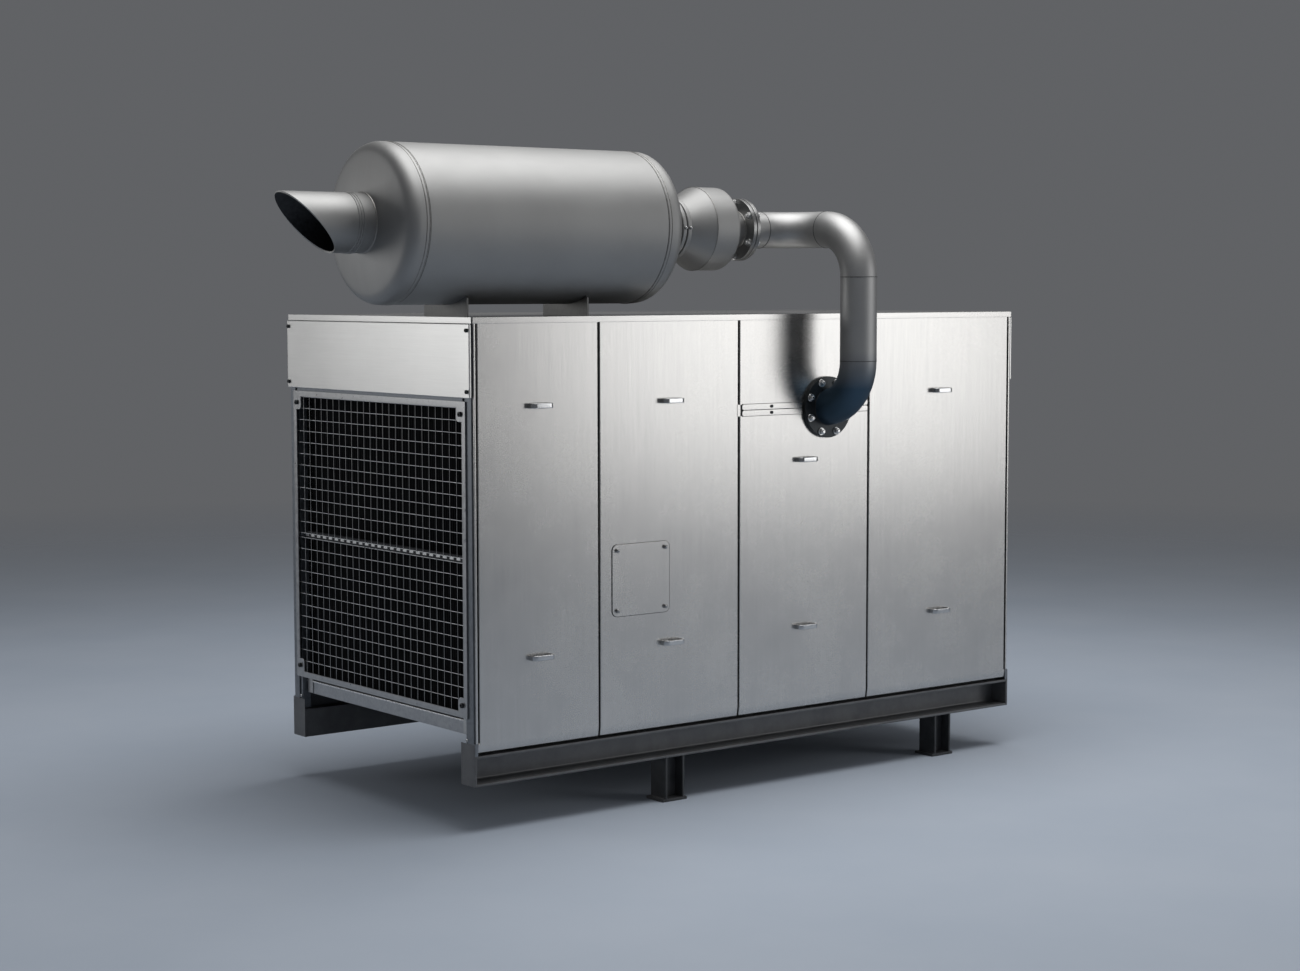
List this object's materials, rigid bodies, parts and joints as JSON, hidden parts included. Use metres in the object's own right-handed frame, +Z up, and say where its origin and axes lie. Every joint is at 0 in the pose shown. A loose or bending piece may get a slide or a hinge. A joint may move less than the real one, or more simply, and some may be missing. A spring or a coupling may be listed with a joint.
{
  "type": "enclosed generator set",
  "caption": "Sheet-steel generator housing on a raised base frame, with mesh end grilles, lift-off side panels, a roof silencer and an exhaust pipe.",
  "frame": {"origin": "under the middle of the whole set's box, at floor level", "axes": "+X along the housing from the exhaust outlet, +Y from the piped side to the plain side, +Z up"},
  "size_m": [3.6946, 1.747, 2.69],
  "materials": {
    "panel_steel": "satin brushed stainless sheet",
    "roof_steel": "satin brushed stainless sheet",
    "handle_steel": "polished stainless strap",
    "frame_paint": "dark grey paint on rolled steel",
    "post_steel": "dull galvanised sheet",
    "grille_steel": "galvanised wire and flat bar",
    "core_black": "matt black fins",
    "exhaust_steel": "bead-blasted matt stainless",
    "saddle_steel": "plain steel plate",
    "flange_steel": "dark machined steel"
  },
  "bodies": {
    "root": {"front_panel_1": "panel_steel", "front_panel_2": "panel_steel", "front_panel_3_lower": "panel_steel", "front_panel_3_upper": "panel_steel", "front_panel_4": "panel_steel", "rear_panel_1": "panel_steel", "rear_panel_2": "panel_steel", "rear_panel_3": "panel_steel", "rear_panel_4": "panel_steel", "end_upper_panel_left": "panel_steel", "end_upper_panel_right": "panel_steel", "service_cover": "panel_steel", "joint_strips": "panel_steel", "roof": "roof_steel", "handles_front": "handle_steel", "handles_rear": "handle_steel", "base_beam_front": "frame_paint", "base_beam_rear": "frame_paint", "base_cross_beams": "frame_paint", "feet": "frame_paint", "drip_pan": "frame_paint", "corner_posts": "post_steel", "mullions": "post_steel", "end_headers": "post_steel", "end_rails": "post_steel", "grille_mid_rails": "post_steel", "grille_side_bars": "grille_steel", "grille_top_bars": "grille_steel", "grille_bottom_bars": "grille_steel", "grille_mesh_upper_left": "grille_steel", "grille_mesh_lower_left": "grille_steel", "grille_mesh_upper_right": "grille_steel", "grille_mesh_lower_right": "grille_steel", "cooling_core_left": "core_black", "cooling_core_right": "core_black", "silencer_shell": "exhaust_steel", "silencer_inlet_head": "exhaust_steel", "silencer_outlet_head": "exhaust_steel", "outlet_spout": "exhaust_steel", "inlet_sleeve": "exhaust_steel", "expansion_chamber": "exhaust_steel", "exhaust_stub": "exhaust_steel", "exhaust_roof_elbow": "exhaust_steel", "exhaust_top_elbow": "exhaust_steel", "exhaust_riser": "exhaust_steel", "exhaust_wall_elbow": "exhaust_steel", "saddles": "saddle_steel", "coupling_flange_chamber": "flange_steel", "coupling_flange_pipe": "flange_steel", "wall_flange": "flange_steel"}
  },
  "joints": []
}
